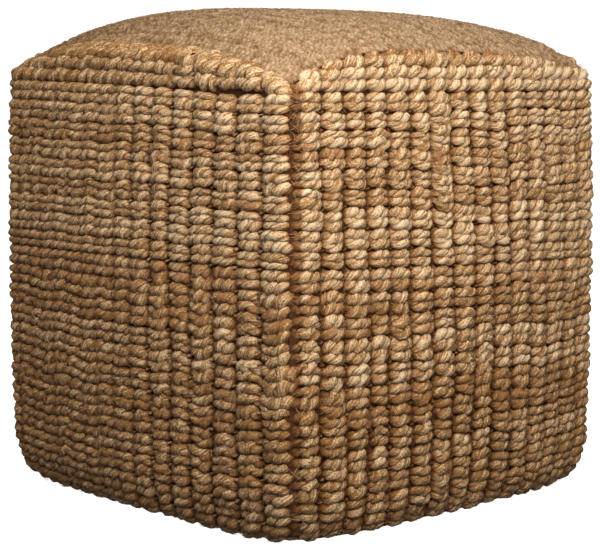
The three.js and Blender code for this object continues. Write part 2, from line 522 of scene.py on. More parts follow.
def twisted_yarn_tree():
    """Tree that turns guide lines into two-lobed yarns, turned along their length by the turn attribute."""
    tree = TreeMaker("Twisted yarn", {
        "Sides": "NodeSocketInt",
        "Waist": "NodeSocketFloat",
        "Material": "NodeSocketMaterial",
    })
    spot = tree.node("GeometryNodeInputPosition")
    across = tree.node("ShaderNodeSeparateXYZ", None, {"Vector": spot})
    reach = across.math("ABSOLUTE") * (1 - tree.given("Waist")) + tree.given("Waist")
    reach = tree.node("ShaderNodeCombineXYZ", None, {"X": reach, "Y": reach, "Z": reach})
    ring = tree.node("GeometryNodeCurvePrimitiveCircle", {"mode": "RADIUS"}, {
        "Resolution": tree.given("Sides"), "Radius": 1.0,
    })
    ring = tree.store(ring, "lobe", spot, "FLOAT_VECTOR")
    lobed = tree.node("GeometryNodeSetPosition", None, {
        "Geometry": ring, "Position": tree.vector("MULTIPLY", spot, reach),
    })
    curve = tree.node("GeometryNodeMeshToCurve", None, {"Mesh": tree.given("Geometry")})
    curve = tree.node("GeometryNodeSetCurveTilt", None, {"Curve": curve, "Tilt": tree.named("turn")})
    tube = tree.node("GeometryNodeCurveToMesh", None, {
        "Curve": curve, "Profile Curve": lobed, "Scale": tree.named("girth"), "Fill Caps": True,
    })
    lobe = tree.named("lobe", "FLOAT_VECTOR")
    run = tree.node("ShaderNodeCombineXYZ", None, {"Z": tree.named("run")})
    tube = tree.store(tube, "fibre", tree.vector("ADD", lobe, run), "FLOAT_VECTOR")
    spot = tree.node("GeometryNodeInputPosition")
    rise = tree.vector("SUBTRACT", spot, tree.named("heart", "FLOAT_VECTOR"))
    height = tree.vector("DOT_PRODUCT", rise, tree.named("out", "FLOAT_VECTOR"), output="Value")
    tube = tree.store(tube, "crest", height / tree.named("girth"))
    for spent in ("lobe", "heart", "out", "turn", "run"):
        tube = tree.node("GeometryNodeRemoveAttribute", None, {"Geometry": tube, "Name": spent})
    return tree.finish(tube)


class Lines(NamedTuple):
    """Rows of guide points with what varies along them.

    out: the way out of the side; on a rope it leans towards the other rope of its pair, so that the
    shade painted on the rope falls away from that one. girth: half width of the yarn. turn: angle by
    which it is twisted. run: distance along it, for the pattern of its fibres. tone and rust: how pale
    and how reddish it is; on a rope, tone also holds light and shade painted over the side. deep:
    how much shade is painted on it where it is sunk in a groove, a strip or a seam, or crosses under a pair.
    """

    point: np.ndarray
    out: np.ndarray
    girth: np.ndarray
    turn: np.ndarray
    run: np.ndarray
    tone: np.ndarray
    rust: np.ndarray
    deep: np.ndarray


def put(mesh, name, values):
    """Stores a number or a vector for each point of a mesh."""
    vector = values.ndim == 2
    made = mesh.attributes.new(name, "FLOAT_VECTOR" if vector else "FLOAT", "POINT")
    made.data.foreach_set("vector" if vector else "value", values.astype(np.float32).ravel())


def guide_mesh(name, lines):
    """Mesh of edges along the guide lines, with their values as attributes."""
    rows, steps = lines.girth.shape
    mesh = bpy.data.meshes.new(name + " lines")
    mesh.vertices.add(rows * steps)
    mesh.vertices.foreach_set("co", lines.point.astype(np.float32).ravel())
    first = (np.arange(rows)[:, None] * steps + np.arange(steps - 1)[None]).ravel()
    mesh.edges.add(len(first))
    mesh.edges.foreach_set("vertices", np.stack([first, first + 1], axis=1).astype(np.int32).ravel())
    for field in ("girth", "turn", "run", "tone", "rust", "deep"):
        put(mesh, field, getattr(lines, field).ravel())
    put(mesh, "out", lines.out.reshape(-1, 3))
    put(mesh, "heart", lines.point.reshape(-1, 3))
    return mesh


def link(name, mesh):
    made = bpy.data.objects.new(name, mesh)
    bpy.context.scene.collection.objects.link(made)
    return made


def grown(name, mesh, tree, **inputs):
    """Object whose plain mesh is what the tree makes of a mesh."""
    made = link(name, mesh)
    modifier = made.modifiers.new("Grow", "NODES")
    modifier.node_group = tree
    for socket in tree.interface.items_tree:
        if socket.item_type == "SOCKET" and socket.in_out == "INPUT" and socket.name in inputs:
            modifier[socket.identifier] = inputs[socket.name]
    bpy.context.view_layer.update()
    graph = bpy.context.evaluated_depsgraph_get()
    ready = made.evaluated_get(graph)
    plain = bpy.data.meshes.new_from_object(ready, preserve_all_data_layers=True, depsgraph=graph)
    made.modifiers.remove(modifier)
    made.data = plain
    plain.name = name
    bpy.data.meshes.remove(mesh)
    return made


def joined(name, objects):
    """One object of several."""
    bpy.ops.object.select_all(action="DESELECT")
    for each in objects:
        each.select_set(True)
    bpy.context.view_layer.objects.active = objects[0]
    bpy.ops.object.join()
    objects[0].name = name
    objects[0].data.name = name
    return objects[0]


# Step from one side to the next in the random seed and in the pattern of the fibres, and the step from the
# ropes to the binder yarns in that pattern.
SIDES_APART = 100
BINDERS_APART = 60

# Grooves: how far one drifts sideways on its way down, and the knots of that, how far it strays from pair
# to pair, and how quickly a side's grip goes over from its start's to its end's.
GROOVE_DRIFT = 2.2 * MM
DRIFT_KNOTS = 6
GROOVE_STRAY = 0.8 * MM
GRIP_SLOPE = 0.18

# Hold of the binder yarns: its spread and limits, and the least grip in a corner.
HOLD_SPREAD = 0.22
HOLD_LIMITS = (0.4, 1.5)
CORNER_GRIP = 0.5

# Cells between the grooves: limit of their random values, and the least share of them that shows where the
# binder yarns are slack.
CELL_LIMIT = 2
LEAST_FIRM = 0.3

# First ropes under the top seam, which make the front's lip, and the share of the usual hold on them.
HEAD_ROPES = 4
HEAD_HOLD = 0.45

# Share of a side's ropes that lie over its middle line.
MIDDLE_SHARE = 22 / 46

# Crease under the front's lip: its middle and half width across the side, how far it parts the ropes, and
# how far the rope under it is sunk.
CREASE_PLACE = 0.66
CREASE_WIDTH = 0.34
CREASE_GAP = 3.6 * MM
CREASE_DEPTH = 2.4 * MM

# Thickness of a rope: knots and size of each wave along it, its spread from rope to rope, from cell to cell
# and with the swelling of a pair, and its limits.
THICKNESS_WAVES = ((5, 0.08), (14, 0.12), (45, 0.12), (110, 0.1))
ROPE_SPREAD = 0.13
CELL_SPREAD = 0.21
PAIR_SPREAD = 0.1
THICKNESS_LIMITS = (0.5, 1.7)

# Rows: how far their heights are evened out, the least share of its row that a rope fills, and the least
# height that the seam leaves of one.
LEVELLING = 0.47
LEAST_FULL = 0.95
LEAST_ROW = 0.8 * MM

# Loss of thickness of a rope where a binder yarn holds it, and the least share that stays.
HELD_LOSS = 0.22
LEAST_HELD = 0.6

# How far a rope stands out of the solid's face, how far cells and rows stray from that, and the knots of a
# row's straying.
PROUD = 1.6 * MM
CELL_STRAY = 0.8 * MM
ROW_STRAY = 0.5 * MM
ROW_KNOTS = 9

# Twist of a rope: its spread from rope to rope, how far it varies along one, and the knots of that.
TWIST_SPREAD = 0.12
TWIST_WANDER = 0.27
TWIST_KNOTS = 30

# How far a side's ropes reach towards its start and its end, and how they turn into the seams there.
START_REACH = 0.974
END_REACH = 0.964
SEAM_TURN = math.radians(135)
SEAM_TURN_RADIUS = 2.2 * MM
SEAM_TURN_STEPS = 5
SEAM_TAIL = 3 * MM
SEAM_TAPER = 0.85
END_STEPS = SEAM_TURN_STEPS + 1

# The strip beside the seam at the start of a side, where its ropes sink before they turn in: how wide it
# is with its slope, how deep, the shade painted on it, and the loss of thickness of its ropes.
STRIP_WIDTH = 17 * MM
STRIP_SLOPE = 3 * MM
STRIP_DEPTH = 3.4 * MM
STRIP_SHADE = 1.0
STRIP_LOSS = 0.2

# Shade painted right beside the seam on the ropes of a strip, and how far it reaches.
EDGE_SHADE = 1.2
EDGE_REACH = 2.5 * MM

# Shade painted on the very end of a rope in the seam, and the power by which it rises to that.
SEAM_DARK = 2.2
SEAM_DARKENING = 2.5

# How far the painted shade on a rope is tilted away from the other rope of its pair.
PARTNER_TILT = 0.3

# Height under which a row that the seam cuts off sinks away, and by how much it does.
TOP_FADE = 4 * MM

# How far down from the top seam the ropes are sunk, and the shade painted on them and their loss of
# thickness there for each metre by which they are.
TOP_REACH = 12 * MM
SEAM_SHADE = 0.2 / MM
SEAM_LOSS = 0.09 / MM

# Random changes in how pale and how reddish the ropes are: from rope to rope, from pair to pair, slowly
# along a rope and the knots of that, and from cell to cell.
ROPE_TONE = 0.35
PAIR_TONE = 0.35
SLOW_TONE = 0.5
TONE_KNOTS = 6
CELL_TONE = 0.8

# Painted light and shade over a side: how much paler its fibres are made at its top, how much darker
# at its floor and the power of that, and how much darker at the front's far end, at its top and at its floor.
HEAD_PAINTED_LIGHT = 0.8
FOOT_PAINTED_SHADE = 3.4
FOOT_POWER = 1.5
FAR_PAINTED_SHADE = (2.1, 1.4)

# Painted shade on the front's lip, which faces up into the key light, and how much less reddish the lip is.
LIP_PAINTED_SHADE = 2.0
LIP_GREY = 1.5

# How much duller the first pair of the right side is, how reddish its first rope, and from which place on
# and over which stretch that comes in.
FIRST_DULL = 1.2
FIRST_RUST = 2.5
FIRST_RUST_START = -0.6
FIRST_RUST_SLOPE = 0.2

# Share of the shade painted in a groove that shows at the top of a side and at its floor.
HEAD_SHADE = 0.7
FOOT_SHADE = 1.2

# Loose fibres: how long they are, how far they stand off a rope at most and the least share of that, how
# thick they are and the share of that at their tips, and their steps.
STRAY_LENGTH = (6 * MM, 17 * MM)
STRAY_RISE = 1.6 * MM
LEAST_RISE = 0.3
STRAY_THICK = 0.5 * MM
STRAY_TIP = 0.4
STRAY_STEPS = 5

# Where they lie: the share of them in the strip, the steps of a rope's ends that have none, the share of
# its half width at which they start, their greatest angle with the rope, and how far they bend.
STRIP_STRAYS = 0.28
BARE_STEPS = 4
STRAY_ROOT = 0.8
STRAY_SLANT = 0.9
STRAY_BEND = 0.3

# How pale they may be, and the stretch of the pattern of the fibres in which theirs starts.
STRAY_TONES = (3.0, 2.0, -3.5)
STRAY_RUN = 9

# Binder yarns: how deep under the solid's face one crosses a pair and lies in a knot, how a knot slants
# through the gap between two pairs, and the length of its twist as a share of a rope's.
CROSSING_DEPTH = 1.6 * MM
KNOT_DEPTH = 1.3 * MM
KNOT_SLANT = 4.4 * MM
KNOT_LIFT = 1.5 * MM
BINDER_TWIST = 0.7

# Size of the knots: its spread and limits, the least share of it where the yarn is slack, and the loss of
# it under the top seam.
KNOT_SPREAD = 0.3
KNOT_LIMITS = (0.3, 1.5)
LEAST_KNOT = 0.3
HIDDEN_LOSS = 0.8

# Tone of the binder yarns: paler with thicker knots, duller on the whole, and how far it varies in tone and
# in rust, with a knot for each rope.
KNOT_PALE = 2
BINDER_DULL = 1.3
BINDER_TONE = 0.9
BINDER_RUST = 0.5
BINDER_KNOTS = 46


class Station(NamedTuple):
    """A place in a binder yarn's knot.

    below and beside: how far it lies from the knot's middle, as shares of KNOT_LIFT and KNOT_SLANT. size:
    share of the knot's thickness, or 0 where the yarn is as thin as where it crosses a pair. depth: how
    much deeper it lies.
    """

    below: float
    beside: float
    size: float
    depth: float


KNOT_STATIONS = (
    Station(-1.6, 1.2, 0, 3 * MM),
    Station(-1, 1, 0.7, 0.5 * MM),
    Station(0, 0, 1, -0.3 * MM),
    Station(1, -1, 0.7, 0.5 * MM),
    Station(1.6, -1.2, 0, 3 * MM),
)

# Backing behind the ropes: its thickness, how deep it lies, in the middle and at the upright seams, the
# place from which it comes nearer to the face, how far it reaches across and down the side, and its steps.
BACKING_THICK = 2.2 * MM
BACKING_DEPTH = (7.4 * MM, 6.2 * MM)
BACKING_BEND = 0.9
BACKING_REACH = 0.985
BACKING_MARGIN = 0.012
BACKING_STEPS = (60, 40)


def turn_in(point, out, heading):
    """Points by which a rope goes on from its last point, round and into the seam."""
    angles = np.linspace(0, SEAM_TURN, SEAM_TURN_STEPS + 1)[1:, None]
    ahead = SEAM_TURN_RADIUS * np.sin(angles)
    under = SEAM_TURN_RADIUS * (1 - np.cos(angles))
    bend = point[:, None] + ahead * heading[:, None] - under * out[:, None]
    tail = bend[:, -1:] + SEAM_TAIL * (math.cos(SEAM_TURN) * heading - math.sin(SEAM_TURN) * out)[:, None]
    return np.concatenate([bend, tail], axis=1)


def with_ends(rows, taper=1.0):
    """Rows of numbers or vectors carried on into the seams at both ends, tapering there."""
    fade = np.linspace(1, taper, END_STEPS + 1)[1:]
    fade = fade.reshape(1, END_STEPS, *(1,) * (rows.ndim - 2))
    return np.concatenate([rows[:, :1] * fade[:, ::-1], rows, rows[:, -1:] * fade], axis=1)


def run_along(point):
    """Distance of each point from the start of its line."""
    stride = np.linalg.norm(np.diff(point, axis=1), axis=2)
    return np.concatenate([np.zeros((len(point), 1)), np.cumsum(stride, axis=1)], axis=1)


class SideWeave:
    """The weave of side k: where its ropes, grooves and columns lie, step by step across the side."""

    def __init__(self, k, weave):
        self.k = k
        self.side = SIDES[k]
        self.hand = HANDS[k]
        self.weave = weave
        self.rng = np.random.default_rng(weave.seed + SIDES_APART * k)
        self.pairs = weave.pairs
        self.ropes = 2 * weave.pairs
        self.places = np.linspace(-START_REACH, END_REACH, weave.steps)
        self.face = Face(k, self.places)
        self.lay_grooves()
        self.lay_rows()

    def lay_grooves(self):
        """Place of each groove in each pair, and how near each step of a pair is to one."""
        edges = column_edges(self.k)
        drift = GROOVE_DRIFT * wander(self.rng, len(edges), self.pairs, DRIFT_KNOTS).T
        stray = GROOVE_STRAY * self.rng.normal(size=(self.pairs, len(edges)))
        shift = (drift + stray) / FACE_HALF
        shift[:, [0, -1]] = 0
        self.grooves = edges + shift
        grip = mix(*self.hand.grip, 0.5 + 0.5 * np.tanh((edges - self.hand.turn) / GRIP_SLOPE))
        self.firm = np.clip(np.interp(self.places, edges, grip), LEAST_FIRM, 1)
        grip[[0, -1]] = np.maximum(grip[[0, -1]], CORNER_GRIP)
        self.hold = grip * np.clip(1 + HOLD_SPREAD * self.rng.normal(size=self.grooves.shape), *HOLD_LIMITS)
        self.hold[:HEAD_ROPES // 2] *= HEAD_HOLD
        apart = np.abs(self.places[None, :, None] - self.grooves[:, None, :]) * FACE_HALF
        nearest = apart.argmin(axis=2)
        rows = np.arange(self.pairs)[:, None]
        self.held = bell(apart.min(axis=2), self.hand.groove) * self.hold[rows, nearest]
        column = (self.places[None, :, None] > self.grooves[:, None, :]).sum(axis=2) - 1
        self.column = np.clip(column, 0, self.side.columns - 1)
        into_strip = (STRIP_WIDTH - (1 + self.places) * FACE_HALF) / STRIP_SLOPE
        self.strip = np.clip(into_strip, 0, 1) if self.hand.selvedge else 0 * self.places
        # Where shade is painted right beside the seam on a strip.
        from_seam = (self.places - self.places[0]) * FACE_HALF
        self.edge = self.strip * np.clip(1 - from_seam / EDGE_REACH, 0, 1)

    def by_cell(self, rows):
        """A random value for each row and column of cells, fading out at the grooves between them."""
        values = np.clip(self.rng.normal(size=(rows, self.side.columns)), -CELL_LIMIT, CELL_LIMIT)
        repeat = rows // self.pairs
        column = np.repeat(self.column, repeat, axis=0)
        free = 1 - np.clip(np.repeat(self.held, repeat, axis=0), 0, 1)
        return values[np.arange(rows)[:, None], column] * free * self.firm

    def waves(self, knots):
        """Smooth random values along each rope."""
        return wander(self.rng, self.ropes, len(self.places), knots)

    def lay_rows(self):
        """Distance down the face and half width of each rope. The top cloth covers or sinks the first."""
        self.fat = np.repeat(self.by_cell(self.pairs), 2, axis=0)
        thick = 1 + self.weave.unevenness * (
            sum(size * self.waves(knots) for knots, size in THICKNESS_WAVES)
            + ROPE_SPREAD * self.rng.normal(size=(self.ropes, 1))
            + CELL_SPREAD * self.by_cell(self.ropes)
            + PAIR_SPREAD * self.fat
        )
        thick = np.clip(thick, *THICKNESS_LIMITS)
        even = mix(thick, 1.0, LEVELLING)
        fuller = np.maximum(thick / even, LEAST_FULL)
        gap = np.zeros_like(thick)
        gap[2::2] = self.hand.parted
        self.crease = (self.k == FRONT) * bell(self.places - CREASE_PLACE, CREASE_WIDTH)
        gap[HEAD_ROPES] += CREASE_GAP * self.crease
        share = (self.places + 1) / 2
        shoulder = self.face.down_to(mix(*self.hand.shoulder, share))
        middle = self.face.down_to(mix(*self.hand.level, share))
        cut = round(MIDDLE_SHARE * self.ropes)
        zones = (
            (slice(0, HEAD_ROPES), shoulder.max()),
            (slice(HEAD_ROPES, cut), middle - shoulder),
            (slice(cut, None), self.face.length - middle),
        )
        for rows, room in zones:
            even[rows] *= (room - gap[rows].sum(axis=0)) / even[rows].sum(axis=0)
        lower = np.maximum(np.cumsum(even + gap, axis=0) - (shoulder.max() - shoulder), 0)
        upper = np.maximum(lower - even, 0)
        self.down = (lower + upper) / 2
        self.low = self.down / self.face.length
        self.cut_off = 1 - np.clip((lower - upper) / TOP_FADE, 0, 1)
        near_top = np.clip(1 - self.down / TOP_REACH, 0, 1)
        self.tucked = self.hand.first * near_top
        self.girth = np.maximum(lower - upper, LEAST_ROW) / 2 * fuller * (1 - SEAM_LOSS * self.tucked)
        self.fat = self.fat * (1 - near_top)

    def rope_lines(self):
        """Centre lines of the ropes."""
        weave = self.weave
        held = np.repeat(self.held, 2, axis=0)
        towards = np.tile([[1.0], [-1.0]], (self.pairs, 1))
        width = self.girth * weave.fullness
        girth = width * np.clip(1 - HELD_LOSS * held, LEAST_HELD, 1) * (1 - STRIP_LOSS * self.strip)
        sink = width - PROUD + weave.dip * held - CELL_STRAY * self.fat
        sink = sink + STRIP_DEPTH * self.strip + self.tucked + TOP_FADE * self.cut_off
        sink = sink + ROW_STRAY * self.waves(ROW_KNOTS)
        sink[HEAD_ROPES] += CREASE_DEPTH * self.crease
        face, out = self.face.at(np.clip(self.down + towards * weave.pinch * held, 0, self.face.length))
        point = face - sink[..., None] * out
        point[..., 2] = np.maximum(point[..., 2], girth)
        # A rope's way out leans towards its partner, so that the shade painted on it falls away from that
        # rope.
        partner = unit(np.repeat(point[1::2] - point[::2], 2, axis=0) * towards[..., None])
        lit = unit(out + PARTNER_TILT * partner)
        start = turn_in(point[:, 0], out[:, 0], unit(point[:, 0] - point[:, 1]))[:, ::-1]
        end = turn_in(point[:, -1], out[:, -1], unit(point[:, -1] - point[:, -2]))
        point = np.concatenate([start, point, end], axis=1)
        run = run_along(point)
        pace = 1 + TWIST_SPREAD * self.rng.normal(size=(self.ropes, 1))
        pace = pace + TWIST_WANDER * wander(self.rng, self.ropes, run.shape[1], TWIST_KNOTS)
        phase = self.rng.uniform(0, TURN, size=(self.ropes, 1))
        twist = weave.twist * self.hand.lay
        turn = phase - np.cumsum(np.diff(run, axis=1, prepend=0) * pace, axis=1) * TURN / twist
        tone, rust = (with_ends(rows) for rows in self.colouring())
        run = run + np.arange(self.ropes)[:, None] + SIDES_APART * self.k
        girth = with_ends(girth, SEAM_TAPER)
        return Lines(point, with_ends(lit), girth, turn, run, tone, rust, self.rope_shade(held))

    def rope_shade(self, held):
        """Shade painted along each rope where it is sunk in a groove, a strip or a seam."""
        deep = held * mix(HEAD_SHADE, FOOT_SHADE, self.low)
        deep = deep + STRIP_SHADE * self.strip + EDGE_SHADE * self.edge + SEAM_SHADE * self.tucked
        deep = with_ends(deep)
        in_seam = SEAM_DARK * np.linspace(0, 1, END_STEPS + 1)[1:] ** SEAM_DARKENING
        deep[:, -END_STEPS:] = np.maximum(deep[:, -END_STEPS:], in_seam)
        deep[:, :END_STEPS] = np.maximum(deep[:, :END_STEPS], in_seam[::-1])
        return deep

    def colouring(self):
        """How pale and how reddish each rope is along its length."""
        pair = (np.arange(self.ropes) // 2)[:, None]
        tone, rust = (
            ROPE_TONE * self.rng.normal(size=(self.ropes, 1))
            + PAIR_TONE * np.repeat(self.rng.normal(size=(self.pairs, 1)), 2, axis=0)
            + SLOW_TONE * self.waves(TONE_KNOTS)
            + CELL_TONE * self.by_cell(self.ropes)
            for _ in range(2)
        )
        for band in BANDS:
            near = bell(pair + 1 - band.pair, band.reach)
            tone = tone + band.pale * near
            rust = rust + band.rust * near
        # Painted light at the top of a side, and painted shade towards its floor and the front's far end.
        tone = tone + HEAD_PAINTED_LIGHT - FOOT_PAINTED_SHADE * self.low**FOOT_POWER
        if self.k == FRONT:
            tone = tone - mix(*FAR_PAINTED_SHADE, self.low) * (1 - self.places) / 2
            # Painted shade on the front's lip.
            tone[:HEAD_ROPES] -= LIP_PAINTED_SHADE
            rust[:HEAD_ROPES] -= LIP_GREY
        if self.k == RIGHT:
            tone[:2] -= FIRST_DULL
            rust[0] += FIRST_RUST * np.clip((self.places - FIRST_RUST_START) / FIRST_RUST_SLOPE, 0, 1)
        return tone, rust

    def stray_lines(self, ropes):
        """Centre lines of loose fibres that start in a rope, stand off it a little and go back in."""
        count = self.weave.strays
        rope = self.rng.integers(0, self.ropes, count)
        bare = SEAM_TURN_STEPS + BARE_STEPS
        step = self.rng.integers(bare, ropes.girth.shape[1] - bare, count)
        in_strip = END_STEPS + self.rng.integers(0, max(1, np.count_nonzero(self.strip)), count)
        moved = self.rng.random(count) < STRIP_STRAYS * np.any(self.strip > 0)
        step = np.where(moved, in_strip, step)
        out = ropes.out[rope, step]
        along = unit(ropes.point[rope, step + 1] - ropes.point[rope, step])
        across = np.cross(out, along)
        angle = self.rng.uniform(-STRAY_SLANT, STRAY_SLANT, size=(count, 1))
        heading = np.cos(angle) * along + np.sin(angle) * across
        length = self.rng.uniform(*STRAY_LENGTH, size=(count, 1, 1))
        share = np.linspace(0, 1, STRAY_STEPS + 1)[None, :, None]
        rise = STRAY_RISE * self.rng.uniform(LEAST_RISE, 1, size=(count, 1, 1)) * arch(share)
        bend = STRAY_BEND * length * self.rng.normal(size=(count, 1, 1)) * arch(share)
        root = ropes.point[rope, step] + (STRAY_ROOT * ropes.girth[rope, step])[:, None] * out
        point = root[:, None] + (share - 0.5) * length * heading[:, None] + rise * out[:, None]
        point = point + bend * across[:, None]
        point[..., 2] = np.maximum(point[..., 2], STRAY_THICK)
        girth = np.full(point.shape[:2], STRAY_THICK / 2)
        girth[:, [0, -1]] *= STRAY_TIP
        run = 0 * girth + self.rng.uniform(0, STRAY_RUN, size=(count, 1))
        tone = 0 * girth + self.rng.choice(STRAY_TONES, size=(count, 1))
        rust = 0 * girth + self.rng.normal(size=(count, 1))
        out = np.repeat(out[:, None], STRAY_STEPS + 1, axis=1)
        return Lines(point, out, girth, 0 * girth, run, tone, rust, 0 * girth)

    def binder_lines(self):
        """Centre lines of the binder yarns: each crosses a pair, then slants through the gap below it."""
        weave, hand = self.weave, self.hand
        edges = column_edges(self.k)[1:-1]
        hold = self.hold[:, 1:-1]
        down, hidden = (
            np.stack([np.interp(edges, self.places, row) for row in rows])
            for rows in (self.down, self.cut_off[1::2])
        )
        over = (down[0::2] + down[1::2]) / 2
        gap = np.concatenate([(down[1:-1:2] + down[2::2]) / 2, down[-1:]])
        hidden[:HEAD_ROPES // 2] = 1
        size = np.clip(1 + KNOT_SPREAD * self.rng.normal(size=over.shape), *KNOT_LIMITS)
        size = size * hand.knot * weave.knot / 2
        size = size * np.clip(mix(LEAST_KNOT, 1, hold), LEAST_KNOT, 1) * (1 - HIDDEN_LOSS * hidden)
        thin = np.full_like(over, weave.binder / 2)
        near = KNOT_DEPTH / hand.knot + TOP_FADE * hidden
        place = (self.grooves[:, 1:-1] - edges) * FACE_HALF
        stations = [(over, place, thin, CROSSING_DEPTH + weave.dip * hold + TOP_FADE * hidden)]
        for at in KNOT_STATIONS:
            below = gap + at.below * KNOT_LIFT * hand.knot
            beside = place + at.beside * KNOT_SLANT * hand.knot
            stations.append((below, beside, size * at.size if at.size else thin, near + at.depth))
        down, place, girth, depth = (
            np.stack(rows, axis=1).reshape(-1, len(edges)) for rows in zip(*stations)
        )
        point, out = Face(self.k, edges).at(np.clip(down, 0, None))
        point = point - depth[..., None] * out + place[..., None] * turned(self.k, np.array([1.0, 0, 0]))
        point, out, girth = point.swapaxes(0, 1), out.swapaxes(0, 1), girth.T
        run = run_along(point)
        yarns, steps = run.shape
        turn = self.rng.uniform(0, TURN, size=(yarns, 1)) - run * TURN / (BINDER_TWIST * weave.twist)
        tone = BINDER_TONE * wander(self.rng, yarns, steps, BINDER_KNOTS)
        tone = KNOT_PALE * hand.knot - BINDER_DULL + tone
        rust = BINDER_RUST * wander(self.rng, yarns, steps, BINDER_KNOTS)
        # Painted shade on the thin parts of a binder, where it crosses under the pairs.
        deep = np.clip(1 - (girth - weave.binder / 2) / (weave.knot / 4), 1 - hand.knot, 1)
        run = run + np.arange(yarns)[:, None] + SIDES_APART * self.k + BINDERS_APART
        return Lines(point, out, girth, turn, run, tone, rust, deep)

    def backing_mesh(self):
        """Thin closed sheet behind the ropes, nearer to the face at the upright seams."""
        across, rows = BACKING_STEPS
        places = np.linspace(-BACKING_REACH, BACKING_REACH, across + 1)
        face = Face(self.k, places)
        share = np.linspace(BACKING_MARGIN, 1 - BACKING_MARGIN, rows + 1)[:, None]
        point, out = face.at(share * face.length)
        near_seam = np.clip((np.abs(places) - BACKING_BEND) / (BACKING_REACH - BACKING_BEND), 0, 1)
        depth = mix(*BACKING_DEPTH, near_seam)[None, :, None]
        return slab_mesh("Backing", point - depth * out, point - (depth + BACKING_THICK) * out)


def slab_mesh(name, front, back):
    """Closed mesh between two grids of points, front facing out."""
    rows, columns = front.shape[:2]
    under = rows * columns
    grid = np.arange(under).reshape(rows, columns)
    a, b, c, d = grid[:-1, :-1], grid[1:, :-1], grid[1:, 1:], grid[:-1, 1:]
    rim = np.concatenate([grid[:-1, 0], grid[-1, :-1], grid[:0:-1, -1], grid[0, :0:-1]])
    following = np.roll(rim, -1)
    faces = [
        np.stack([a, b, c, d], axis=-1).reshape(-1, 4),
        np.stack([a, d, c, b], axis=-1).reshape(-1, 4) + under,
        np.stack([rim, rim + under, following + under, following], axis=-1),
    ]
    points = np.concatenate([front.reshape(-1, 3), back.reshape(-1, 3)])
    return mesh_of(name, points, np.concatenate(faces))


def mesh_of(name, points, faces):
    mesh = bpy.data.meshes.new(name)
    mesh.from_pydata(points.tolist(), [], [list(face) for face in faces])
    mesh.shade_smooth()
    return mesh


# How much each unevenness shows in the shade of a rope's fibres: single strands, locks of them, longer
# patches, flecks, and the rope's own tone and rust.
STRAND_SHADE = 2.5
LOCK_SHADE = 1.6
PATCH_SHADE = 1.2
FLECK_SHADE = 2.6
TONE_SHADE = 0.15
RUST_SHADE = 0.07

# The same for the yarns of the top cloth.
TOP_GRAIN_SHADE = 2.4
TOP_TONE_SHADE = 0.09

# Share of a colour that is left of it in the dim fibres and gaps, and of umber in the lit ones.
DIM = 0.6
LIT = 1.4


def empty_material(name):
    """A material without nodes, and the sheet that fills it."""
    material = bpy.data.materials.new(name)
    material.use_nodes = True
    material.node_tree.nodes.clear()
    return material, NodeSheet(material.node_tree)


def paint(colour, share=1):
    """A colour, or a share of it, as a socket takes it."""
    return (*(share * c for c in colour), 1)


def jute_material(name, colours, fine=1.0):
    """Jute rope: fibres that follow the plies, uneven colour, and painted shade between the ropes, in the
    grooves and in the seams.
    """
    material, sheet = empty_material(name)
    fibre = sheet.attribute("fibre", output="Vector")
    tone, rust, crest, deep = (sheet.attribute(field) for field in ("tone", "rust", "crest", "deep"))
    place = sheet.node("ShaderNodeTexCoord", output="Object")
    strands = sheet.noise(fibre, scale=4.0 * fine, detail=2.0, roughness=0.6, stretch=(1.0, 1.0, 38.0))
    locks = sheet.noise(fibre, scale=2.4 * fine, detail=2.0, roughness=0.6, stretch=(1.0, 1.0, 50.0))
    patches = sheet.noise(fibre, scale=1.9, detail=3.0, roughness=0.6, stretch=(0.3, 0.3, 16.0))
    rusty = sheet.noise(fibre, scale=2.6, detail=2.0, roughness=0.5, stretch=(0.5, 0.5, 16.0))
    flecks = sheet.noise(place, scale=620.0, detail=2.0, roughness=0.6)
    shade = 0.5 + (strands - 0.5) * STRAND_SHADE + (locks - 0.5) * LOCK_SHADE
    shade = shade + (patches - 0.5) * PATCH_SHADE + (flecks - 0.5) * FLECK_SHADE + tone * TONE_SHADE
    colour = sheet.blend(sheet.ramp(shade, (0.30, 0.0), (1.0, 1.0)), paint(colours.tan), paint(colours.straw))
    reddish = sheet.ramp(rusty + rust * RUST_SHADE, (0.57, 0.0), (0.74, 0.9))
    colour = sheet.blend(reddish, colour, paint(colours.rust))
    lobe = sheet.node("ShaderNodeSeparateXYZ", None, {"Vector": fibre}, output="X")
    # Painted shade in the crease between the two plies, with the dull fibres, goes to brown.
    crease = sheet.ramp(lobe.math("ABSOLUTE"), (0.0, 0.8), (0.32, 0.0))
    dull = sheet.ramp(shade, (0.0, 0.8), (0.38, 0.0))
    colour = sheet.blend((crease * 1.1 + dull).clamped(), colour, paint(colours.brown_and_crease_shade))
    lit = sheet.ramp(shade, (0.15, 0.0), (0.85, 1.0))
    shade_umber = sheet.blend(lit, paint(colours.shade_umber, DIM), paint(colours.shade_umber, LIT))
    # Painted shade on the sides of a rope that face inwards, where it meets its neighbours, and in grooves
    # and seams.
    shade_between_ropes = sheet.ramp(crest * 0.5 + 0.5, (0.36, 1.0), (0.74, 0.0))
    colour = sheet.blend((shade_between_ropes * 0.6 + deep * 0.75).clamped(), colour, shade_umber)
    # The darkest painted shade, where a rope lies furthest into a groove or seam.
    colour = sheet.blend(((deep - 0.8) * 0.8).clamped(), colour, paint(colours.shade))
    grain = strands * 0.8 + locks * 0.7 + flecks * 0.9 - crease * 0.5
    sheet.surface(colour, grain, strength=0.85, rise=1.5 * MM, roughness=0.85 - 0.2 * (strands - 0.5))
    return material


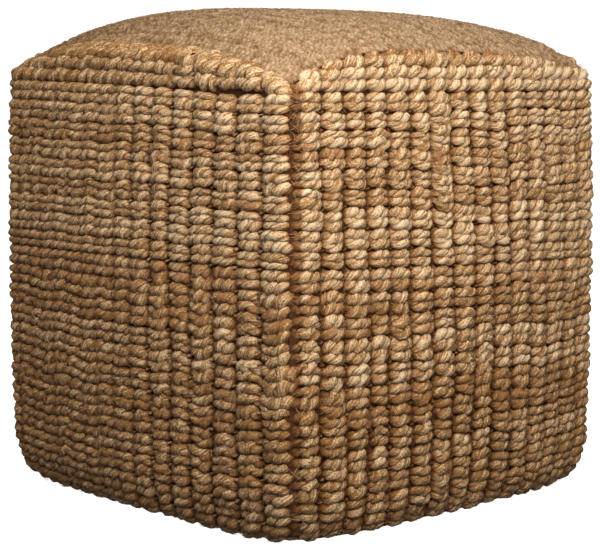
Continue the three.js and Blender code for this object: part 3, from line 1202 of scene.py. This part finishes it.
def cloth_material(name, colours):
    """Finer jute cloth of the top: fibres along its rows, with shade painted between the yarns and at its
    tucked edge.
    """
    material, sheet = empty_material(name)
    fibre = sheet.attribute("fibre", output="Vector")
    tone, crest = (sheet.attribute(field) for field in ("tone", "crest"))
    strands = sheet.noise(fibre, scale=1.0, detail=3.0, roughness=0.7, stretch=(300.0, 600.0, 1.0))
    patches = sheet.noise(fibre, scale=110.0, detail=4.0, roughness=0.65)
    shade = 0.5 + (strands - 0.5) * TOP_GRAIN_SHADE + (patches - 0.5) * TOP_GRAIN_SHADE
    shade = shade + tone * TOP_TONE_SHADE
    pale = sheet.ramp(shade, (0.1, 0.0), (0.9, 1.0))
    colour = sheet.blend(pale, paint(colours.top_dull), paint(colours.top_pale))
    # Painted shade between the rows, where a yarn's crest falls away, together with the dullest yarns.
    gap_shade_and_dull = sheet.ramp(crest, (0.0, 0.8), (0.6, 0.0)) + sheet.ramp(shade, (0.0, 0.5), (0.3, 0.0))
    colour = sheet.blend(gap_shade_and_dull.clamped(), colour, paint(colours.shade_umber, DIM))
    sheet.surface(colour, strands, strength=0.8, rise=0.8 * MM, roughness=0.85)
    return material


def plain_material(name, colour):
    """Plain cloth behind the ropes, in painted shade, and under the pouf."""
    material, sheet = empty_material(name)
    place = sheet.node("ShaderNodeTexCoord", output="Object")
    grain = sheet.noise(place, scale=260.0, detail=3.0, roughness=0.5)
    tint = sheet.blend(sheet.ramp(grain, (0.3, 0.0), (0.7, 1.0)), paint(colour, DIM), paint(colour))
    sheet.surface(tint, grain, strength=0.5, rise=0.5 * MM, roughness=0.9, specular=0.2)
    return material


def top_edge(k, s):
    """Half width of the opening in side k that the top cloth fills."""
    return SEAM_HALF - roll_at(k, s)


def base_edge(k, s):
    """Half width of the opening in side k that the base cloth fills."""
    return SEAM_HALF - FOOT_TOE + swelling(k, s, 0)


def in_plan(edge, u, v):
    """Place in plan of a point of the top or the base cloth, u towards +X and v towards +Y."""
    x = mix(-edge(LEFT, -v), edge(RIGHT, v), (u + 1) / 2) - GAP * u
    y = mix(-edge(FRONT, u), edge(BACK, -u), (v + 1) / 2) - GAP * v
    return x, y


def crown_height(u, v):
    """Height of the top cloth: the four seam heights blended, and the crown over them."""
    front_left, front_right, back_right, back_left = CORNER_HEIGHTS
    right, back = (u + 1) / 2, (v + 1) / 2
    along_y = mix(seam_height(FRONT, u), seam_height(BACK, -u), back)
    along_x = mix(seam_height(LEFT, -v), seam_height(RIGHT, v), right)
    corners = mix(mix(front_left, front_right, right), mix(back_left, back_right, right), back)
    return along_y + along_x - corners + CROWN * swell(u, 2) * swell(v, 2)


# The edge of the top cloth: it comes over the edge of the sides, then dives into the seam.
TUCK = 6 * MM
TUCK_DROP = 2.4 * MM
OVERHANG = 3.6 * MM

# Share of the top cloth's relief that lies under the solid's face.
RELIEF_SUNK = 0.6

# Rows of the top cloth: knots and size of each sway, and how round a row is.
ROW_SWAYS = ((14, 1.6 * MM), (64, 0.9 * MM))
ROW_ROUND = 0.92

# Plies of its yarns: spread of their pitch, how far they slant across a row and stray, the knots of that,
# and how much of a row's height and crest they make.
PITCH_SPREAD = 0.08
PLY_SLANT = 0.42
PLY_STRAY = 0.7
PLY_KNOTS = 70
PLY_HEIGHT = 0.4
PLY_CREST = 0.45

# How far a yarn's thickness varies, and the knots of that.
YARN_SPREAD = 0.35
YARN_KNOTS = 80

# Tone of the rows: its spread, the knots of slow changes, and the shade painted on the cloth towards its left
# side.
ROW_TONE = 0.6
TOP_TONE_KNOTS = 24
TOP_PAINTED_SHADE = 2.0


def top_relief(x, y, top, rng):
    """Raised weave of the top cloth: rows of two-ply yarn along X. Returns its height, its tone with
    painted light towards the right and painted shade towards the left, and its crest.
    """
    sway = sum(size * soft_noise(rng, x.shape, knots) for knots, size in ROW_SWAYS)
    row_place = (y + sway) / top.row
    row = np.floor(row_place)
    across = 2 * (row_place - row) - 1
    dome = np.sqrt(np.clip(1 - ROW_ROUND * across**2, 0, 1))
    rows = int(row.max() - row.min()) + 1
    index = (row - row.min()).astype(int)
    phase = rng.uniform(0, 1, size=rows)[index]
    pace = 1 + PITCH_SPREAD * rng.normal(size=rows)[index]
    stray = PLY_STRAY * soft_noise(rng, x.shape, PLY_KNOTS)
    ply = np.cos(TURN * (x * pace / top.ply + phase + PLY_SLANT * across + stray))
    thick = 1 + YARN_SPREAD * soft_noise(rng, x.shape, YARN_KNOTS)
    height = top.relief * dome * (1 - PLY_HEIGHT + PLY_HEIGHT * ply) * thick
    tone = ROW_TONE * rng.normal(size=rows)[index] + soft_noise(rng, x.shape, TOP_TONE_KNOTS)
    return height, tone + TOP_PAINTED_SHADE * x / SEAM_HALF, dome * (1 - PLY_CREST + PLY_CREST * ply)


def body_mesh(top, seed):
    """Closed stuffed body: the woven top cloth, and plain hidden walls and underside."""
    rng = np.random.default_rng(seed)
    ticks = np.linspace(-1, 1, top.cells + 1)
    u, v = np.meshgrid(ticks, ticks)
    x, y = in_plan(top_edge, u, v)
    z = crown_height(u, v)
    height, tone, crest = top_relief(x, y, top, rng)
    near_x, near_y = (np.clip(1 - (1 - np.abs(way)) * SEAM_HALF / TUCK, 0, 1) for way in (u, v))
    x = x + OVERHANG * near_x * np.sign(u)
    y = y + OVERHANG * near_y * np.sign(v)
    tuck = np.maximum(near_x, near_y) ** 2
    z = z - TUCK_DROP * tuck + height * (1 - tuck) - RELIEF_SUNK * top.relief
    # The crest fades out in the tuck, so the tucked edge gets painted shade.
    crest = crest * (1 - tuck**3)
    points = [np.stack([x, y, z], axis=-1).reshape(-1, 3)]
    grid = np.arange(u.size).reshape(u.shape)
    last = np.concatenate([grid[0, :-1], grid[:-1, -1], grid[-1, :0:-1], grid[:0:-1, 0]])
    faces = [np.stack([grid[:-1, :-1], grid[:-1, 1:], grid[1:, 1:], grid[1:, :-1]], axis=-1).reshape(-1, 4)]
    total = u.size
    for ring in wall_rings(ticks):
        points.append(ring)
        here = total + np.arange(len(ring))
        faces.append(np.stack([last, here, np.roll(here, -1), np.roll(last, -1)], axis=-1)[:, ::-1])
        last, total = here, total + len(ring)
    points.append(points[-1].mean(axis=0)[None])
    corners = [face.tolist() for face in np.concatenate(faces)]
    corners += [[int(a), total, int(b)] for a, b in zip(last, np.roll(last, -1))]
    mesh = mesh_of("Stuffed body", np.concatenate(points), corners)
    plain = total + 1 - u.size
    fibre = np.stack([y, x, 0 * x], axis=-1).reshape(-1, 3)
    put(mesh, "fibre", np.concatenate([fibre, np.zeros((plain, 3))]))
    put(mesh, "tone", np.concatenate([tone.ravel(), np.zeros(plain)]))
    put(mesh, "crest", np.concatenate([crest.ravel(), np.zeros(plain)]))
    return mesh


def wall_rings(ticks):
    """Rings of points down the inner wall of the sides, from under the top cloth to the base cloth."""
    wall_end = HEAD_CUTS + WALL_CUTS - 3
    cuts = [0, HEAD_CUTS - 1, HEAD_CUTS + WALL_CUTS // 2, wall_end, -1]
    shifts = [-GAP, 0, 0, 0, GAP]
    rings = [[] for _ in cuts]
    for k in range(4):
        out, z = section(k, ticks[:-1], SIDE_THICK)
        start, end = (section(k, [place], SIDE_THICK)[0][:, 0] for place in (-1.0, 1.0))
        for ring, cut, shift in zip(rings, cuts, shifts):
            corner = np.where(ticks[:-1] > 0, end[cut], start[cut]) - GAP
            points = np.stack([ticks[:-1] * corner, GAP - out[cut], z[cut] + shift], axis=-1)
            ring.append(turned(k, points))
    return [np.concatenate(ring) for ring in rings]


def base_mesh(cells=90, pitch=6 * MM, relief=0.5 * MM, rounding=1.6 * MM, reach=6 * MM):
    """Base cloth: a slab with rounded edges and a plain weave pressed flat on the floor."""
    ticks = np.linspace(-1, 1, cells + 1)
    u, v = np.meshgrid(ticks, ticks)
    x, y = in_plan(base_edge, u, v)
    lift = CORNER_LIFT * lift_share(u) * lift_share(v)
    weave = relief * (0.5 + 0.5 * np.sin(TURN * x / pitch) * np.sin(TURN * y / pitch))
    edge = (1 - np.maximum(np.abs(u), np.abs(v))) * SEAM_HALF
    round_off = rounding * np.clip(1 - edge / reach, 0, 1) ** 2
    low = np.stack([x, y, lift + weave + round_off], axis=-1)
    high = np.stack([x, y, lift + BASE_THICK - weave - round_off], axis=-1)
    return slab_mesh("Base cloth", low.swapaxes(0, 1), high.swapaxes(0, 1))


# Sides of the section of a rope, a binder yarn and a loose fibre, and the last two's waists.
ROPE_SIDES = 8
BINDER_SIDES = 6
BINDER_WAIST = 0.8
STRAY_SIDES = 3
STRAY_WAIST = 1.0

# Scale of the fibres on a binder yarn, as a share of a rope's.
BINDER_FINE = 0.6


class PoufOperator(bpy.types.Operator):
    """One step in dressing the pouf."""

    bl_options = {"REGISTER", "UNDO"}


class POUF_OT_stage(PoufOperator):
    """Makes the camera, the pale floor and the soft studio light"""

    bl_idname = "pouf.stage"
    bl_label = "Stage"

    def execute(self, context):
        stage = context.scene.pouf_stage
        make_camera(context.scene, stage)
        make_floor()
        make_light(context.scene, stage)
        return {"FINISHED"}


class POUF_OT_side_weaves(PoufOperator):
    """Weaves the four roped side panels"""

    bl_idname = "pouf.side_weaves"
    bl_label = "Side weaves"

    def execute(self, context):
        weave, colours = context.scene.pouf_weave, context.scene.pouf_colours
        tree = twisted_yarn_tree()
        rope = jute_material("Jute rope", colours)
        binder = jute_material("Jute binder", colours, fine=BINDER_FINE)
        # The backing takes the shade colour: painted shade seen in the gaps between the ropes.
        backing = plain_material("Dark backing", colours.shade)
        for k, side in enumerate(SIDES):
            plan = SideWeave(k, weave)
            ropes = plan.rope_lines()
            yarns = (
                ("Ropes", ropes, ROPE_SIDES, plan.hand.waist, rope),
                ("Binders", plan.binder_lines(), BINDER_SIDES, BINDER_WAIST, binder),
                ("Strays", plan.stray_lines(ropes), STRAY_SIDES, STRAY_WAIST, binder),
            )
            parts = [
                grown(name, guide_mesh(name, lines), tree, Sides=sides, Waist=waist, Material=finish)
                for name, lines, sides, waist, finish in yarns
            ]
            back = link("Back", plan.backing_mesh())
            back.data.materials.append(backing)
            piece = joined("weave_" + side.name, [*parts, back])
            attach(piece, "root")
            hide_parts("side_panel_" + side.name)
        return {"FINISHED"}


class POUF_OT_body(PoufOperator):
    """Makes the stuffed body with its woven top cloth"""

    bl_idname = "pouf.body"
    bl_label = "Stuffed body"

    def execute(self, context):
        mesh = body_mesh(context.scene.pouf_top, context.scene.pouf_weave.seed)
        mesh.materials.append(cloth_material("Jute top cloth", context.scene.pouf_colours))
        piece = link("body_top", mesh)
        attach(piece, "root")
        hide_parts("stuffed_body")
        return {"FINISHED"}


class POUF_OT_base(PoufOperator):
    """Makes the base cloth"""

    bl_idname = "pouf.base"
    bl_label = "Base cloth"

    def execute(self, context):
        mesh = base_mesh()
        mesh.materials.append(plain_material("Base cloth", context.scene.pouf_colours.base))
        piece = link("base_cloth", mesh)
        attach(piece, "root")
        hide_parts("bottom_panel")
        return {"FINISHED"}


def make_camera(scene, stage, sensor=36, far=50):
    """Camera at the photograph's angle. sensor: its width in millimetres. far: how far it sees."""
    data = bpy.data.cameras.new("Camera")
    data.lens = stage.lens
    data.sensor_width = sensor
    data.clip_end = far
    camera = bpy.data.objects.new("Camera", data)
    scene.collection.objects.link(camera)
    azimuth = stage.azimuth
    camera.location = (math.sin(azimuth) * stage.distance, -math.cos(azimuth) * stage.distance, stage.height)
    camera.rotation_euler = (QUARTER - stage.pitch, 0, azimuth)
    scene.camera = camera


def make_floor(half=12, grey=0.93):
    """Plain pale floor."""
    corners = [(-half, -half, 0), (half, -half, 0), (half, half, 0), (-half, half, 0)]
    mesh = bpy.data.meshes.new("Floor")
    mesh.from_pydata(corners, [], [(0, 1, 2, 3)])
    material, sheet = empty_material("Pale floor")
    surface = sheet.node("ShaderNodeBsdfPrincipled", None, {
        "Base Color": (grey, grey, grey, 1),
        "Roughness": 0.8,
        "Specular IOR Level": 0.1,
        "Emission Color": (1, 1, 1, 1),
        "Emission Strength": 1.0,
    })
    sheet.node("ShaderNodeOutputMaterial", None, {"Surface": surface})
    mesh.materials.append(material)
    floor = link("floor", mesh)
    floor.visible_diffuse = False


# Soft light from the sky: its colour, the way to the brighter side, and its strength square to that way
# and the change of it towards that side.
SKY_COLOUR = (1.0, 0.78, 0.55)
SKY_WAY = (0.8, -0.6, 0.0)
SKY_EVEN = 0.47
SKY_CHANGE = 0.45


def make_light(scene, stage):
    """White surroundings with soft light from above, a large key light up on the right, and one behind."""
    world = bpy.data.worlds.new("Studio")
    world.use_nodes = True
    world.node_tree.nodes.clear()
    sheet = NodeSheet(world.node_tree)
    way = sheet.node("ShaderNodeTexCoord", output="Generated")
    up = sheet.node("ShaderNodeSeparateXYZ", None, {"Vector": way}, output="Z")
    rightward = sheet.vector("DOT_PRODUCT", way, SKY_WAY, output="Value")
    above = sheet.ramp(up * 0.5 + 0.5, (0.48, 0.05), (0.82, 1.0))
    soft = sheet.node("ShaderNodeBackground", None, {
        "Color": sheet.blend(above, (0.0, 0.0, 0.0, 1), paint(SKY_COLOUR)),
        "Strength": stage.sky * (SKY_EVEN + SKY_CHANGE * rightward),
    })
    white = sheet.node("ShaderNodeBackground", None, {"Color": (1, 1, 1, 1), "Strength": 1.0})
    seen = sheet.node("ShaderNodeLightPath", output="Is Camera Ray")
    both = sheet.node("ShaderNodeMixShader", None, {0: seen, 1: soft, 2: white})
    sheet.node("ShaderNodeOutputWorld", None, {"Surface": both})
    scene.world = world
    scene.view_settings.view_transform = "Standard"
    area_light("Key", place=(0.675, -0.48, 0.95), size=1.1, power=stage.key, aim=0.45, spread=110)
    area_light("Back light", place=(-1.0, 1.0, 0.5), size=0.7, power=stage.fill, aim=0.2, spread=180)


def area_light(name, place, size, power, aim, spread):
    """Round light at a place, turned to a height on the pouf's upright axis. spread is in degrees."""
    data = bpy.data.lights.new(name, "AREA")
    data.shape = "DISK"
    data.size = size
    data.energy = power
    data.spread = math.radians(spread)
    light = bpy.data.objects.new(name, data)
    bpy.context.scene.collection.objects.link(light)
    light.visible_camera = False
    light.location = place
    light.rotation_mode = "QUATERNION"
    light.rotation_quaternion = (Vector((0, 0, aim)) - Vector(place)).to_track_quat("-Z", "Y")


class POUF_PT_panel(bpy.types.Panel):
    """Steps and settings of the pouf"""

    bl_idname = "POUF_PT_panel"
    bl_label = "Jute pouf"
    bl_space_type = "VIEW_3D"
    bl_region_type = "UI"
    bl_category = "Pouf"

    def draw(self, context):
        for name in SETTINGS:
            group = getattr(context.scene, name)
            box = self.layout.box()
            for field in group.bl_rna.properties:
                if field.identifier not in ("rna_type", "name"):
                    box.prop(group, field.identifier)
        for step in STEPS:
            self.layout.operator(step.bl_idname)


SETTINGS = {
    "pouf_weave": WeaveSettings,
    "pouf_top": TopSettings,
    "pouf_colours": ColourSettings,
    "pouf_stage": StageSettings,
}
STEPS = (POUF_OT_stage, POUF_OT_side_weaves, POUF_OT_body, POUF_OT_base)


def register():
    for group in SETTINGS.values():
        bpy.utils.register_class(group)
    for each in (*STEPS, POUF_PT_panel):
        bpy.utils.register_class(each)
    for name, group in SETTINGS.items():
        setattr(bpy.types.Scene, name, bpy.props.PointerProperty(type=group))


def unregister():
    for name in SETTINGS:
        delattr(bpy.types.Scene, name)
    for each in (POUF_PT_panel, *reversed(STEPS)):
        bpy.utils.unregister_class(each)
    for group in SETTINGS.values():
        bpy.utils.unregister_class(group)


def main():
    """Dresses the pouf step by step."""
    register()
    bpy.ops.pouf.stage()
    bpy.ops.pouf.side_weaves()
    bpy.ops.pouf.body()
    bpy.ops.pouf.base()


if __name__ == "__main__":
    main()
